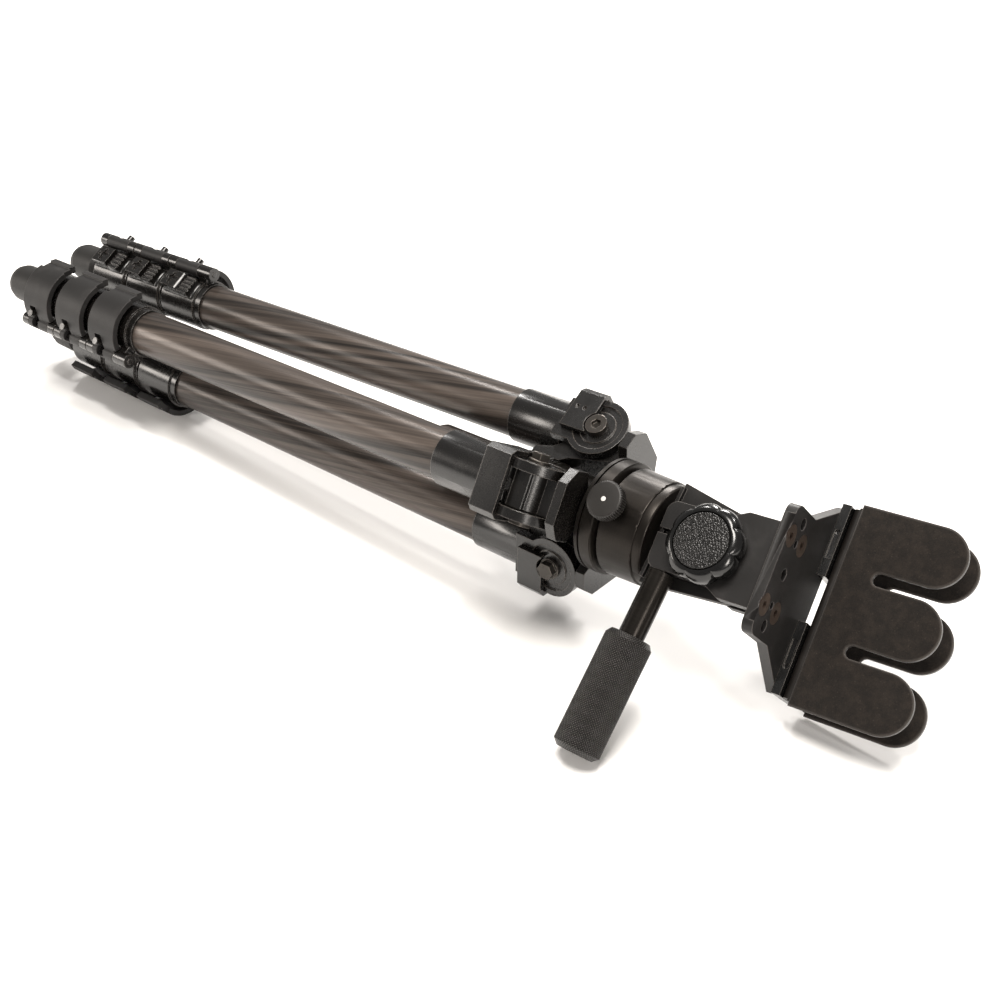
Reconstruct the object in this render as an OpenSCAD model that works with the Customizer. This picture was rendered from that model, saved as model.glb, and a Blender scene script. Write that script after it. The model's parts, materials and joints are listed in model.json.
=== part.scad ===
// Folded four-section tripod with a pan and tilt head that carries a three-finger cradle.
// X runs from the feet to the head. The folded tripod lies on leg C, the handle and the cradle.

/* [Legs] */
// Outer diameter of the widest leg tube
tube_d = 29.2; // [24:0.2:35]
// Step in diameter from one leg section to the next
tube_step = 4.4; // [3.8:0.1:5]
// Wall of every leg tube
tube_wall = 1.5; // [1:0.1:1.8]
// Folded length of a leg, from its pivot to the tip of its foot
leg_len = 474; // [420:1:570]
// Distance from the tripod's axis to each leg's pivot
pivot_r = 39; // [38:0.5:47]
// Distance from the tripod's axis to each leg at the tip of its foot
foot_r = 29.6; // [28:0.2:34]
// Length of one clamp collar along the leg
clamp_len = 32; // [28:1:38]
// Gap between neighbouring clamp collars
clamp_gap = 5; // [4:0.5:8]
// Outer diameter of a foot
foot_d = 26; // [22:1:30]
// Width of a lever along the leg
lever_w = 27; // [23:1:28]
// Thickness of a lever
lever_t = 3.6; // [3:0.2:4.5]
// Diameter of the lever hinge pins
hinge_pin_d = 3.6; // [3:0.2:4]

/* [Spider] */
// Diameter of the three leg pivot bolts
bolt_d = 8; // [6:0.5:10]
// Width of a spider lug between the two ears of a leg
lug_w = 20; // [17:0.5:22]
// Thickness of one ear
ear_t = 5.6; // [4.5:0.2:6.8]
// Outer diameter of the spider's hub
hub_d = 34; // [32:1:38]

/* [Column] */
// Outer diameter of the centre column
column_d = 27; // [22:1:29]
// How far the column reaches below the spider's hub
column_drop = 57; // [40:1:68]
// Diameter of the platform that carries the head
platform_d = 64; // [56:1:76]

/* [Head] */
// Diameter of the rotating pan body
pan_d = 60.4; // [52:0.2:72]
// Height of the rotating pan body
pan_h = 22; // [18:1:28]
// Diameter of the pan lock knob
pan_knob_d = 21; // [17:1:25]
// Turn of the head about the tripod's axis as stored
pan_turn = 45; // [0:1:90]
// Distance from the tripod's axis station 0 to the tilt axle
axle_x = 102; // [100:0.5:122]
// Diameter of the tilt axle
axle_d = 16; // [13:0.5:19]
// Tilt of the cradle as stored
tilt_turn = 4.5; // [0:0.5:9]
// Thickness of each of the two tilt arms
arm_t = 8; // [7:0.5:10]
// Thickness of the fixed tongue between the arms
tongue_t = 5.2; // [4.4:0.2:6.4]
// Distance between the two tilt arms
arm_space = 9; // [8:0.2:10.4]
// Width of the split clamp end of the near arm
clamp_end_w = 37.2; // [32:0.2:44]
// Width of the arms where they meet the rest plate
arm_w = 46.8; // [40:0.2:56]
// Diameter of the lobed tilt knob
knob_d = 42; // [35:1:50]
// Thickness of the lobed tilt knob
knob_t = 11.6; // [9:0.2:14]

/* [Handle] */
// Diameter of the bare handle rod
rod_d = 14; // [12:0.5:17]
// Diameter of the knurled grip
grip_d = 26; // [22:1:31]
// Length of the knurled grip
grip_len = 66; // [55:1:80]
// Length of bare rod between the arm and the grip
rod_len = 37; // [31:1:44]

/* [Rest plate] */
// Distance from the tilt axle to the back of the rest plate
plate_x = 31.5; // [31.5:0.5:38]
// Thickness of the rest plate
plate_t = 6; // [5:0.5:8]
// Length of the narrow strip of the plate, which the arms are screwed to
strip_len = 69.4; // [62:0.2:83]
// Length of the plate's flared far edge
flare_len = 106; // [90:1:126]
// Diameter of the middle and outer accessory holes
hole_d = 6.4; // [5:0.2:7.6]
// Diameter of the inner pair of accessory holes
hole_inner_d = 4.2; // [3.4:0.1:4.4]
// Diameter of the heads of the four plate screws
screw_head_d = 12; // [10:0.1:12.2]
// Spacing from the middle hole to the inner pair
hole_inner = 16.6; // [14:0.2:18]
// Spacing from the middle hole to the outer pair
hole_outer = 27.6; // [25:0.2:29]

/* [Cradle] */
// Width of one finger of the cradle
finger_w = 33; // [27:1:40]
// Width of the slots between the fingers
slot_w = 7; // [5.5:0.5:9]
// Length of the slots between the fingers, to the finger tips
slot_len = 43.3; // [36:0.1:52]
// Depth of the cradle, from its web to the finger tips
cradle_depth = 66.4; // [62:0.2:80]
// Clear width of the channel between the two felt faces
channel_w = 23.5; // [19:0.5:29]
// Thickness of the cradle's sheet
sheet_t = 2; // [1.5:0.1:2.5]
// Thickness of the felt on each face
felt_t = 1; // [0.8:0.1:1.5]
// Thickness of the spacer blocks under the cradle
block_t = 5.1; // [4:0.1:7]

/* [Hidden] */

$fs = 1;
gap = 0.4;                       // clear space between faces of different bodies
pin_play = 0.05;                 // radial play of a pin in its hole
big = 400;

// Pose of the folded tripod on the ground
lie_pitch = 2.71;
lie_roll = -1.44;
ground = 75.26;
middle_x = 128.9;
middle_y = 9.17;

// Leg stations, measured from the pivot towards the foot
LEGS = [60, -60, 180];           // turn of legs A, B and C about the tripod's axis
leg_lean = asin((pivot_r - foot_r) / leg_len);
tube_r = tube_d / 2;
sleeve_r = tube_r + 1.7;
sleeve_end = 58;
foot_len = 29;
clamp_pitch = clamp_len + clamp_gap;
ring_len = 5.6;
collar_r = tube_r + 2.6;
first_clamp = leg_len - 110;     // far end of the clamp on the widest tube
hinge_r = tube_r + 9.3;          // distance from the tube's axis to the lever hinge
hinge_angle = 60;
lever_in = tube_r + 6.2;
lever_out = lever_in + lever_t;
knuckle_r = 4.6;
catch_len = 19;
ear_out = lug_w / 2 + gap + ear_t;
ear_r = 18;
bolt_head_r = bolt_d / 2 + 2.3;
hub_r = hub_d / 2;
column_r = column_d / 2;
barrel_r = column_r + 2.2;       // barrel of the column's platform

// Stations of the column and the pan, measured from the pivots towards the head
hub_low = 40;
hub_top = -16.4;
end_stop_x = 20.6;
end_stop_t = 5.8;
collar_len = 7;
platform_x = 27.4;
platform_t = 2.8;
pan_x = 41.2;
pan_r = pan_d / 2;
disc_x = pan_x + pan_h;
disc_t = 5;

// Stations across the head, along the tilt axle
tongue_mid = 9.5;
near_lo = tongue_mid + arm_space / 2;
tongue_lo = tongue_mid - arm_space / 2 + gap;
tongue_hi = tongue_lo + tongue_t;
near_hi = near_lo + arm_t;
near_mid = near_lo + arm_t / 2;
far_hi = tongue_mid - arm_space / 2;
far_lo = far_hi - arm_t;
far_mid = far_lo + arm_t / 2;
axle_r = axle_d / 2;
knob_lo = near_hi + gap;
knob_hi = knob_lo + knob_t;
knob_r = knob_d / 2;

// Rest plate and cradle
handle_x = -21.4;
handle_rake = 4.5;               // lean of the handle from square to the arm
face_x = plate_x + plate_t;
strip_lo = -3.6;
strip_hi = 23.6;
plate_lo = -41.5;
screw_w = 18.5;
web_x = face_x + block_t;
front_n = -32.5;
sheet_gap = channel_w + 2 * felt_t;
front_sheet = front_n - felt_t - sheet_t;
rear_sheet = front_sheet - sheet_gap;
felt_x = web_x + 4.5;
cradle_w = 3 * finger_w + 2 * slot_w;
tip_x = web_x + cradle_depth;

// ---------------------------------------------------------------- frames

// Puts the tripod, built along X, down on the ground
module lay() {
    translate([middle_x, middle_y, ground])
        rotate([0, -lie_pitch, 0])
            rotate([lie_roll, 0, 0])
                children();
}

// Frame of one leg: its tube runs along -X, and +Z points away from the tripod's axis
module on_leg(turn) {
    lay() rotate([turn, 0, 0]) translate([0, 0, pivot_r]) rotate([0, -leg_lean, 0]) children();
}

// Frame of the head: Z runs along the tilt axle, Y along the rest plate
module on_head() {
    lay() rotate([pan_turn, 0, 0]) children();
}

// Frame of everything that tilts, with its origin on the axle
module on_tilt() {
    on_head() translate([axle_x, 0, 0]) rotate([0, 0, tilt_turn]) children();
}

// A round bar along X, from x0 to x1
module bar(r, x0, x1) {
    translate([x0, 0, 0]) rotate([0, 90, 0]) cylinder(r = r, h = x1 - x0);
}

// A round tube along X, from x0 to x1
module pipe(r_out, r_in, x0, x1) {
    difference() {
        bar(r_out, x0, x1);
        bar(r_in, x0 - 1, x1 + 1);
    }
}

// A turned piece about X, from [radius, station] points
module turned(points) {
    rotate([0, 90, 0]) rotate_extrude() polygon(points);
}

// A box given by its low and high corners
module block(low, high) {
    translate(low) cube(high - low);
}

// A rectangle with round corners, centred on Y, from x0 to x1
module round_strip(x0, x1, width, r) {
    for (x = [x0 + r, x1 - r], y = [-1, 1] * (width / 2 - r)) translate([x, y]) circle(r = r);
    translate([x0 + r, -width / 2]) square([x1 - x0 - 2 * r, width]);
    translate([x0, r - width / 2]) square([x1 - x0, width - 2 * r]);
}

// ---------------------------------------------------------------- legs

// Part of a ring about the leg's axis, between two angles from the outward direction.
// Angles grow towards the side of the lever hinges.
module leg_arc(r_in, r_out, x0, x1, from, to) {
    translate([x1, 0, 0])
        rotate([0, -90, 0])
            rotate([0, 0, -to])
                rotate_extrude(angle = to - from)
                    translate([r_in, 0]) square([r_out - r_in, x1 - x0]);
}

// Moves its children to the lever hinge of a leg
module at_hinge() {
    rotate([hinge_angle, 0, 0]) translate([0, 0, hinge_r]) children();
}

function section_r(i) = tube_r - i * tube_step / 2;
function section_end(i) = i < 3 ? first_clamp - 4 + i * clamp_pitch : leg_len - foot_len + 6;

// One carbon tube of a leg, numbered from the widest, 0, to the narrowest, 3
module leg_tube(i) {
    top = i == 0 ? 24 : 36 + 10 * i;
    color(i == 0 ? "dimgray" : "gray")
        pipe(section_r(i), section_r(i) - tube_wall, -section_end(i), -top);
}

// The casting at the top of a leg: a sleeve for the tube and two ears for the pivot
module leg_yoke() {
    color([0.14, 0.14, 0.14]) difference() {
        union() {
            bar(sleeve_r, -sleeve_end, -catch_len - 2);
            for (side = [-1, 1]) ear(side);
        }
        bar(tube_r, -sleeve_end - 1, -24);
        rotate([90, 0, 0]) cylinder(r = bolt_d / 2 + pin_play, h = big, center = true);
    }
}

// One ear of a yoke, with a raised rim round its pivot bolt
module ear(side) {
    low = lug_w / 2 + gap;
    translate([0, side > 0 ? low : -ear_out, 0]) rotate([-90, 0, 0]) {
        difference() {
            union() {
                cylinder(r = ear_r, h = ear_t);
                translate([-catch_len - 6, -13, 0]) cube([catch_len + 6, 26, ear_t]);
            }
            translate([0, 0, side > 0 ? ear_t - 1.2 : -0.01]) cylinder(r = ear_r - 3.5, h = 1.21);
        }
        translate([0, 0, side > 0 ? ear_t - 1.3 : 0.3]) cylinder(r = ear_r - 7.5, h = 1);
    }
}

// The U-shaped angle catch that slides along the outside of the ears
module leg_catch() {
    low = ear_out + gap;
    high = low + 3;
    top = ear_r + gap;
    color([0.22, 0.22, 0.22]) difference() {
        rotate([90, 0, 90]) translate([0, 0, -catch_len - 2])
            linear_extrude(catch_len - 2) difference() {
                polygon([[-high, -7], [-high, top - 1], [3 - high, top + 2.6], [high - 3, top + 2.6],
                         [high, top - 1], [high, -7]]);
                translate([-low, -8]) square([2 * low, top + 8]);
            }
        rotate([90, 0, 0]) cylinder(r = bolt_head_r + 1, h = big, center = true);
        for (x = [-17, -12]) translate([x, -high - 1, 7]) rotate([-90, 0, 0]) cylinder(r = 1.2, h = 2.4);
    }
}

// The collar that clamps section i + 1 at the end of section i
module leg_clamp(i) {
    low = -first_clamp - i * clamp_pitch;
    high = low + clamp_len;
    mid = (low + high) / 2;
    reach = (clamp_gap - gap) / 2;
    high_reach = i == 0 ? 8 : reach;
    color([0.16, 0.16, 0.16]) difference() {
        union() {
            bar(collar_r, low, high);
            bar(collar_r - 1.2, high - 1, high + (i == 0 ? ring_len : 2));
            at_hinge() {
                bar(knuckle_r, low - reach + 0.2, low + 5);
                bar(knuckle_r, high - 5, high + high_reach - 0.4);
                block([low - reach + 0.2, -3, -10], [low + 5, 3.4, 0]);
                block([high - 5, -3, -10], [high + reach - 0.2, 3.4, 0]);
            }
            rotate([90, 0, 0]) translate([0, 0, 13]) {
                block([low + 1, -7, 0], [mid - 1, 6, 8.6]);
                block([mid + 2, -8, 0], [high - 5, 5, 7.4]);
            }
        }
        bar(section_r(i + 1) + gap, low - 10, high + 10);
        bar(section_r(i), low + 4, high + 10);
        at_hinge() bar(hinge_pin_d / 2 + pin_play, low - 10, high + 12);
        rotate([90, 0, 0]) translate([0, 0, 20]) {
            block([low + 3, -1.5, 0], [mid - 3, 1, 3]);
            block([mid - 9.5, -5, 0], [mid - 6.5, 4, 3]);
            for (z = [-6, -3, 0, 3]) block([mid, z, -0.6], [high, z + 1.4, 3]);
        }
    }
    color("silver") at_hinge() bar(hinge_pin_d / 2, low - reach, high + high_reach);
    color("silver") translate([mid - 3, -15.5, 17.4]) cylinder(r = 2.4, h = 5.2);
}

// The flip lever of clamp i: it hinges on one side and wraps over the outside of the collar
module leg_lever(i) {
    low = -first_clamp - i * clamp_pitch;
    mid = low + clamp_len / 2;
    x0 = mid - lever_w / 2;
    x1 = mid + lever_w / 2;
    inner = low + 5.4;
    outer = low + clamp_len - 5.4;
    color([0.3, 0.3, 0.31]) difference() {
        union() {
            difference() {
                leg_arc(lever_in, lever_out, x0, x1, -62, hinge_angle);
                rotate([hinge_angle - 14, 0, 0]) {
                    block([x0 - 1, -20, 10], [inner, 0, 40]);
                    block([outer, -20, 10], [x1 + 1, 0, 40]);
                }
                rotate([-46, 0, 0]) {
                    block([x0 - 1, 0, 10], [x0 + 3, 20, 40]);
                    block([x1 - 1.5, 0, 10], [x1 + 1, 20, 40]);
                }
            }
            at_hinge() bar(knuckle_r, inner, outer);
            rotate([-62, 0, 0]) block([x0 + 3, -1, lever_in + 0.4], [x1 - 1.5, 3.4, lever_out + 1.4]);
        }
        at_hinge() bar(hinge_pin_d / 2 + pin_play, low - 10, low + clamp_len + 10);
        rotate([44, 0, 0]) block([mid - 6.4, -7.5, lever_in - 6], [mid + 0.4, 7.5, lever_out + 4]);
    }
}

// The rubber foot at the end of the narrowest tube
module leg_foot() {
    color([0.25, 0.25, 0.25]) difference() {
        turned([for (p = [[0, 0], [foot_d / 2 - 5, 0], [foot_d / 2 - 1.4, 1.8], [foot_d / 2, 6],
            [foot_d / 2, foot_len - 4], [foot_d / 2 - 3, foot_len], [0, foot_len]])
            [p[0], p[1] - leg_len]]);
        bar(section_r(3), 6 - leg_len + foot_len - 12, 1 - leg_len + foot_len);
    }
}

// ---------------------------------------------------------------- spider and column

// The casting that the three legs hang from
module spider() {
    color([0.2, 0.2, 0.19]) lay() difference() {
        union() {
            bar(hub_r, collar_len - hub_low, hub_top);
            for (turn = LEGS) rotate([turn, 0, 0]) {
                lug();
                end_stop();
            }
        }
        bar(column_r + gap, -big, big);
        bar(barrel_r + 1.2 + gap, hub_top, end_stop_x);
        for (turn = LEGS) rotate([turn, 0, 0]) translate([0, 0, pivot_r])
            rotate([0, -40, 0]) block([-3, -3.4, 7], [3, 3.4, 20]);
    }
}

// One lug: it leaves the hub, carries the pivot bolt and has a stepped round end
module lug() {
    low = collar_len - hub_low + 1;
    near = barrel_r + 2;
    translate([0, lug_w / 2, 0]) rotate([90, 0, 0]) linear_extrude(lug_w) difference() {
        union() {
            polygon([[low, near - 6], [low, hub_r + 1], [-22, hub_r + 4], [-9, pivot_r - 6],
                     [-9, pivot_r + 3], [end_stop_x, pivot_r + 3], [end_stop_x, near + 8],
                     [hub_top + 8, near], [hub_top, near - 6]]);
            translate([0, pivot_r]) circle(r = 11);
            for (step = [0 : 2]) translate([0, pivot_r]) rotate(38 * step) translate([-4, 5]) square([9, 7.6]);
        }
        translate([0, pivot_r]) circle(r = bolt_d / 2 + pin_play);
    }
}

// The wide stop at the head end of a lug
module end_stop() {
    low = pivot_r - 13;
    high = pivot_r + 9;
    half = ear_out + 3.5;
    translate([end_stop_x, 0, 0]) rotate([90, 0, 90])
        linear_extrude(end_stop_t)
            polygon([[-lug_w / 2, low], [-half, low + 5], [-half, high - 7], [8 - half, high],
                     [half - 8, high], [half, high - 7], [half, low + 5], [lug_w / 2, low]]);
}

// Three pivot bolts with a socket head at one end and a flanged nut at the other
module pivot_bolts() {
    reach = ear_out - 0.3;
    color("silver") for (turn = LEGS) lay() rotate([turn, 0, 0]) translate([0, 0, pivot_r])
        rotate([90, 0, 0]) {
            cylinder(r = bolt_d / 2, h = 2 * reach, center = true);
            difference() {
                translate([0, 0, reach]) cylinder(r = bolt_head_r, h = 3.6);
                translate([0, 0, reach + 1.2]) cylinder(r = 3.2, h = 8, $fn = 6);
            }
            translate([0, 0, -reach - 1.4]) cylinder(r = bolt_head_r, h = 1.4);
            translate([0, 0, -reach - 5.4]) cylinder(r = 5.4, h = 4.2, $fn = 6);
        }
}

// The short centre column, closed at its lower end
module column_tube() {
    low = -hub_low - column_drop;
    color([0.35, 0.34, 0.33]) lay() difference() {
        turned([[0, low], [column_r - 3, low], [column_r - 0.8, low + 0.9], [column_r, low + 3],
                [column_r, platform_x - 8], [0, platform_x - 8]]);
        bar(column_r - 2, low + 4, platform_x - 12);
    }
}

// The collar at the lower end of the hub, where the column slides out
module column_collar() {
    color([0.1, 0.1, 0.1]) lay() pipe(hub_r - 0.6, column_r + gap, -hub_low, collar_len - hub_low);
}

// The platform on the column: ridged rings, a barrel and a flared disc
module column_platform() {
    low = hub_top + gap;
    rim = platform_d / 2;
    flare = rim - 1 - barrel_r;
    color([0.23, 0.22, 0.21]) lay() difference() {
        turned(concat(
            [[0, low]],
            [for (ring = [0 : 2]) for (p = [[1, 0], [1, 1.8], [0, 2.1], [0, 2.6]])
                [barrel_r + p[0], low + p[1] + 2.7 * ring]],
            [for (a = [0 : 10 : 90]) [barrel_r + flare * (1 - cos(a)), platform_x - 13 + 13 * sin(a)]],
            [[rim, platform_x + 0.8], [rim, platform_x + platform_t], [0, platform_x + platform_t]]));
        bar(column_r, low - 1, platform_x - 8);
    }
}

// ---------------------------------------------------------------- pan

// The fixed base of the head, with the groove that the pan body turns over
module pan_base() {
    low = platform_x + platform_t;
    color([0.24, 0.23, 0.22]) on_head()
        turned([[0, low], [pan_r + 0.6, low], [pan_r + 1.8, low + 1.2], [pan_r + 1.8, pan_x - 3.2],
                [pan_r + 0.8, pan_x - 2.2], [pan_r - 2.6, pan_x - 1.8], [pan_r - 2.6, pan_x - gap],
                [0, pan_x - gap]]);
}

// The rotating pan body with its dark upper disc
module pan_body() {
    color([0.17, 0.16, 0.15]) on_head() difference() {
        turned([[0, pan_x], [pan_r - 0.8, pan_x], [pan_r, pan_x + 0.8], [pan_r - 0.6, disc_x - 0.6],
                [pan_r - 1.2, disc_x], [pan_r - 1.6, disc_x], [pan_r - 1.6, disc_x + disc_t - 1],
                [pan_r - 2.6, disc_x + disc_t], [0, disc_x + disc_t]]);
        translate([pan_x + 4, 0, pan_r - 12]) cylinder(r = 3 + pin_play, h = 30);
    }
}

// The small knurled knob that locks the pan
module pan_lock_knob() {
    low = pan_r + 1.8 + 2 * gap;
    color([0.4, 0.39, 0.38]) on_head() translate([pan_x + 4, 0, 0]) {
        translate([0, 0, pan_r - 11.6]) cylinder(r = 3, h = 14);
        translate([0, 0, pan_r + gap]) cylinder(r = 5.4, h = 3);
        rotate_extrude() polygon([[0, low], [pan_knob_d / 2 - 2.6, low], [pan_knob_d / 2 - 0.4, low + 2.2],
            [pan_knob_d / 2 - 0.4, low + 7.8], [pan_knob_d / 2 - 1.2, low + 8.8], [0, low + 8.8]]);
    }
}

// ---------------------------------------------------------------- tilt

// The tapered tongue that stands on the pan body and holds the axle between the arms
module tilt_tongue() {
    foot_x = disc_x + disc_t;
    color([0.3, 0.29, 0.28]) on_head() difference() {
        union() {
            translate([0, 0, tongue_lo]) linear_extrude(tongue_t) {
                polygon([[foot_x, -29], [axle_x + 15, -22.2], [axle_x + 15, 22.2], [foot_x, 29]]);
                polygon([[foot_x, 0], [axle_x + 15, -22.2], [axle_x + 21.5, -19.5], [axle_x + 24.5, -14],
                         [axle_x + 24.5, 14], [axle_x + 21.5, 19.5], [axle_x + 15, 22.2]]);
            }
            block([foot_x, -26, tongue_lo - 10], [foot_x + 2, 26, tongue_hi + 3]);
        }
        translate([axle_x, 0, -40]) cylinder(r = axle_r, h = 80);
    }
}

// The tilt axle, fixed in the tongue, with a flange behind the far arm
module tilt_axle() {
    color("dimgray") on_head() translate([axle_x, 0, 0]) {
        translate([0, 0, far_lo - 3]) cylinder(r = axle_r, h = near_hi - far_lo + 3);
        translate([0, 0, tongue_hi]) cylinder(r = axle_r + 4, h = near_lo - gap - tongue_hi);
        translate([0, 0, far_lo - gap - 4]) cylinder(r = axle_r + 4, h = 4);
        translate([0, 0, near_hi - 2]) cylinder(r = 5, h = knob_t);
    }
}

// Outline of the arms where they widen towards the rest plate
module arm_shoulders() {
    polygon([[0, -clamp_end_w / 2], [5, -clamp_end_w / 2 - 0.4], [13.2, -arm_w / 2], [plate_x, -arm_w / 2],
             [plate_x, arm_w / 2], [13.8, arm_w / 2], [5, clamp_end_w / 2 + 0.4], [0, clamp_end_w / 2]]);
}

// The near arm: its end is split and the handle's screw squeezes it on the axle
module tilt_arm_near() {
    color([0.42, 0.41, 0.41]) on_tilt() difference() {
        translate([0, 0, near_lo]) linear_extrude(arm_t) {
            round_strip(-30.5, 12, clamp_end_w, 6);
            arm_shoulders();
        }
        translate([0, 0, near_lo - 1]) cylinder(r = axle_r + pin_play, h = arm_t + 2);
        block([-32, 0.2, near_lo - 1], [0, 3, near_hi + 1]);
        at_handle() translate([0, 0, -30]) cylinder(r = 3 + pin_play, h = 30 + clamp_end_w - 3.5);
        screw_holes();
    }
}

// The far arm, with a round end on the axle
module tilt_arm_far() {
    color([0.42, 0.41, 0.41]) on_tilt() difference() {
        translate([0, 0, far_lo]) linear_extrude(arm_t) {
            circle(r = clamp_end_w / 2);
            arm_shoulders();
        }
        translate([0, 0, far_lo - 1]) cylinder(r = axle_r + pin_play, h = arm_t + 2);
        screw_holes();
    }
}

// The lobed tilt knob, threaded on the end of the axle
module tilt_knob() {
    lobes = 8;
    color([0.12, 0.12, 0.13]) on_tilt() translate([0, 0, knob_lo]) difference() {
        union() {
            cylinder(r = knob_r - 2.6, h = knob_t);
            for (i = [0 : lobes - 1]) rotate([0, 0, 360 / lobes * (i + 0.35)])
                translate([knob_r - 6.4, 0, 0.6]) cylinder(r = 6.4, h = knob_t - 2.4);
        }
        translate([0, 0, knob_t - 2]) cylinder(r = knob_r - 5.7, h = 3);
        translate([0, 0, -1]) cylinder(r = 5 + pin_play, h = knob_t - 1);
    }
}

// The pebbled disc set in the knob
module tilt_knob_pad() {
    color([0.3, 0.3, 0.31]) on_tilt() translate([0, 0, knob_hi - 2])
        rotate_extrude() polygon([[0, 0], [knob_r - 5.7, 0], [knob_r - 5.7, 2.2], [knob_r - 7.2, 2.9],
                                  [(knob_r - 7) / 2, 3.3], [0, 3.4]]);
}

// ---------------------------------------------------------------- handle

// Frame of the handle: Z runs along its screw, from the grip towards the arm
module at_handle() {
    translate([handle_x, -clamp_end_w / 2, near_mid]) rotate([-90, 0, 0]) rotate([0, handle_rake, 0])
        children();
}

// The polished rod, with the screw that closes the split clamp
module handle_rod() {
    color("lightgray") on_tilt() at_handle() {
        translate([0, 0, -rod_len - 6]) cylinder(r = rod_d / 2, h = rod_len + 5.2);
        translate([0, 0, -1]) cylinder(r = 3, h = clamp_end_w - 4);
    }
}

// The grip at the end of the rod
module handle_grip() {
    low = -rod_len - grip_len;
    color([0.3, 0.29, 0.28]) on_tilt() at_handle() difference() {
        rotate_extrude() polygon([[0, low], [grip_d / 2 - 3, low], [grip_d / 2, low + 3],
            [grip_d / 2, -rod_len - 3], [grip_d / 2 - 2, -rod_len], [0, -rod_len]]);
        translate([0, 0, -rod_len - 6]) cylinder(r = rod_d / 2, h = 10);
    }
}

// ---------------------------------------------------------------- rest plate and cradle

// Moves its children to the four screws that hold the arms
module at_screws() {
    for (n = [near_mid, far_mid], w = [-screw_w, screw_w])
        translate([face_x, w, n]) rotate([0, -90, 0]) children();
}

// Holes in the arms for the screws of the rest plate
module screw_holes() {
    at_screws() cylinder(r = 2.5, h = plate_t + 17);
}

// The flat rest plate: a narrow strip over the arms and a flare towards the cradle
module rest_plate() {
    color([0.45, 0.44, 0.45]) on_tilt() difference() {
        translate([plate_x, 0, 0]) rotate([90, 0, 90]) linear_extrude(plate_t) {
            half = strip_len / 2;
            for (w = [-1, 1] * (half - 6)) translate([w, strip_hi - 6]) circle(r = 6);
            translate([6 - half, strip_lo]) square([strip_len - 12, strip_hi - strip_lo]);
            translate([-half, strip_lo]) square([strip_len, strip_hi - strip_lo - 6]);
            polygon([[-half, strip_lo + 1], [-half, strip_lo], [-flare_len / 2, plate_lo + 1.5],
                     [1.5 - flare_len / 2, plate_lo], [flare_len / 2 - 1.5, plate_lo],
                     [flare_len / 2, plate_lo + 1.5], [half, strip_lo], [half, strip_lo + 1]]);
        }
        for (w = [-hole_outer, 0, hole_outer])
            translate([plate_x - 1, w, tongue_mid]) bar(hole_d / 2, 0, plate_t + 2);
        for (w = [-hole_inner, hole_inner])
            translate([plate_x - 1, w, tongue_mid]) bar(hole_inner_d / 2, 0, plate_t + 2);
        at_screws() {
            translate([0, 0, -1]) cylinder(r = 2.5, h = plate_t + 2);
            translate([0, 0, -0.01]) cylinder(r1 = screw_head_d / 2 + gap, r2 = 2.5, h = 4);
        }
    }
}

// Four countersunk socket screws
module rest_screws() {
    color([0.4, 0.34, 0.28]) on_tilt() at_screws() difference() {
        union() {
            translate([0, 0, 0.2]) cylinder(r1 = screw_head_d / 2, r2 = 2.4, h = 3.7);
            translate([0, 0, 3.8]) cylinder(r = 2.4, h = plate_t + 12);
        }
        translate([0, 0, -1]) cylinder(r = 2.2, h = 3.4, $fn = 6);
    }
}

// Two dark blocks that hold the cradle off the plate
module cradle_blocks() {
    far = rear_sheet + 2.5;
    near = front_n + 2;
    color([0.05, 0.05, 0.05]) on_tilt() for (side = [-1, 1]) difference() {
        block([face_x, side > 0 ? 13 : -cradle_w / 2 + 3, far], [web_x, side > 0 ? cradle_w / 2 - 3 : -13, near]);
        translate([face_x + block_t / 2, side * 38, near]) cylinder(r = 1.4, h = 3, center = true);
        block([face_x + 1, side * 30 - 7, near - 0.8], [web_x - 1, side * 30 + 7, near + 1]);
    }
}

// Outline of the three fingers, from station x0 to their tips
module fingers(x0) {
    r = finger_w / 2;
    pitch = finger_w + slot_w;
    difference() {
        union() {
            for (i = [-1, 0, 1]) {
                translate([tip_x - r, i * pitch]) circle(r = r);
                translate([x0, i * pitch - r]) square([tip_x - r - x0, finger_w]);
            }
            translate([x0, -cradle_w / 2]) square([tip_x - slot_len - x0 + slot_w / 2, cradle_w]);
        }
        for (i = [-0.5, 0.5]) translate([tip_x - slot_len + slot_w / 2, i * pitch]) circle(r = slot_w / 2);
        for (i = [-1, 1]) translate([x0 - 1, i > 0 ? cradle_w / 2 - 2.2 : -cradle_w / 2 - 1])
            square([felt_x + 1.4 - x0, 3.2]);
    }
}

// The cradle's sheet, bent to a U whose two plates are cut into three fingers
module cradle() {
    r = 3.5;
    color([0.36, 0.35, 0.33]) on_tilt() {
        for (n = [front_sheet, rear_sheet - sheet_t]) translate([0, 0, n])
            linear_extrude(sheet_t) fingers(web_x + r);
        block([web_x, 3.2 - cradle_w / 2, rear_sheet - sheet_t + r],
              [web_x + sheet_t, cradle_w / 2 - 3.2, front_sheet + sheet_t - r]);
        for (side = [0, 1]) translate([web_x + r, cradle_w / 2 - 3.2, side > 0 ? front_sheet + sheet_t - r
            : rear_sheet - sheet_t + r]) rotate([90, side > 0 ? -90 : 180, 0])
            rotate_extrude(angle = 90) translate([r - sheet_t, 0]) square([sheet_t, cradle_w - 6.4]);
    }
}

// Felt on both faces of each plate of the cradle
module cradle_felt() {
    faces = [front_sheet + sheet_t, front_sheet - felt_t, rear_sheet, rear_sheet - sheet_t - felt_t];
    color([0.24, 0.2, 0.17]) on_tilt() for (n = faces) translate([0, 0, n])
        linear_extrude(felt_t) intersection() {
            fingers(felt_x);
            translate([felt_x, -big]) square(2 * big);
        }
}

// ---------------------------------------------------------------- assembly

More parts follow.
